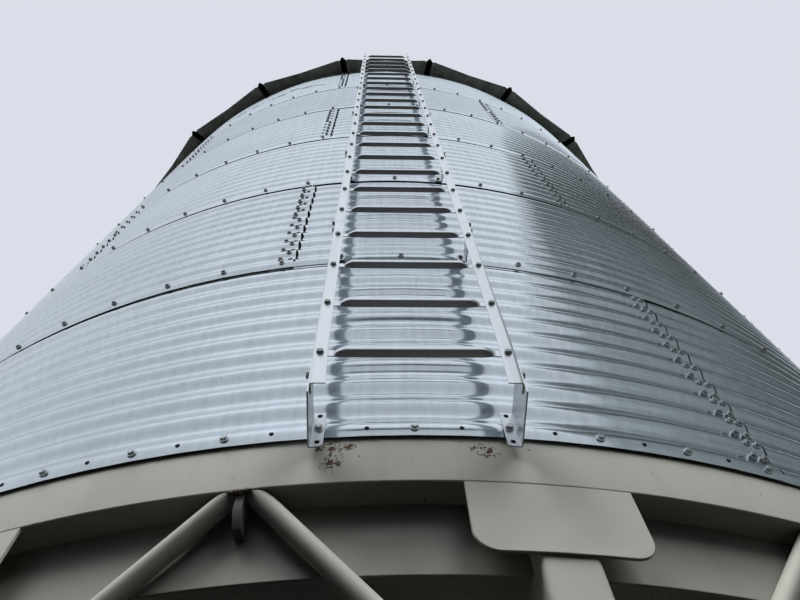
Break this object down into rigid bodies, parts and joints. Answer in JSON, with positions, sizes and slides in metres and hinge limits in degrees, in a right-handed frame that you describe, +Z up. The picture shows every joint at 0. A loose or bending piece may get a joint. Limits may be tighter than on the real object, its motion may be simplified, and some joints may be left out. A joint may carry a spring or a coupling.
{
  "type": "hopper-bottom grain silo",
  "caption": "Round corrugated steel grain silo with a ribbed cone roof, a fixed outside ladder and a painted cone hopper carried on braced legs.",
  "frame": {"origin": "on the silo's axis at ground level, under the outlet", "axes": "+Z up along the silo's axis; -Y towards the ladder; +X to the right of someone facing the ladder"},
  "size_m": [6.6962, 6.722, 11.6447],
  "materials": {
    "galvanised_wall": "weathered spangled galvanised corrugated sheet",
    "galvanised_roof": "dull galvanised roof sheet",
    "galvanised_ladder": "bright galvanised pressed sheet",
    "painted_hopper": "beige grey paint with chips and rust"
  },
  "bodies": {
    "root": {"wall_ring_1": "galvanised_wall", "wall_ring_2": "galvanised_wall", "wall_ring_3": "galvanised_wall", "wall_ring_4": "galvanised_wall", "wall_ring_5": "galvanised_wall", "wall_ring_6": "galvanised_wall", "roof": "galvanised_roof", "roof_collar": "galvanised_roof", "roof_lid": "galvanised_roof", "hopper_ring": "painted_hopper", "skirt_ring": "painted_hopper", "hopper_cone": "painted_hopper", "outlet_collar": "painted_hopper", "slide_gate": "painted_hopper", "leg_01": "painted_hopper", "leg_02": "painted_hopper", "leg_03": "painted_hopper", "leg_04": "painted_hopper", "leg_05": "painted_hopper", "leg_06": "painted_hopper", "leg_07": "painted_hopper", "leg_08": "painted_hopper", "leg_09": "painted_hopper", "leg_10": "painted_hopper", "leg_11": "painted_hopper", "leg_12": "painted_hopper", "leg_13": "painted_hopper", "leg_14": "painted_hopper", "brace_01": "painted_hopper", "brace_02": "painted_hopper", "brace_03": "painted_hopper", "brace_04": "painted_hopper", "brace_05": "painted_hopper", "brace_06": "painted_hopper", "brace_07": "painted_hopper", "brace_08": "painted_hopper", "brace_09": "painted_hopper", "brace_10": "painted_hopper", "brace_11": "painted_hopper", "brace_12": "painted_hopper", "brace_13": "painted_hopper", "brace_14": "painted_hopper", "ladder_section_1": "galvanised_ladder", "ladder_section_2": "galvanised_ladder", "ladder_section_3": "galvanised_ladder", "ladder_section_4": "galvanised_ladder", "ladder_section_5": "galvanised_ladder", "ladder_section_6": "galvanised_ladder", "ladder_foot_left": "galvanised_ladder", "ladder_foot_right": "galvanised_ladder"}
  },
  "joints": []
}
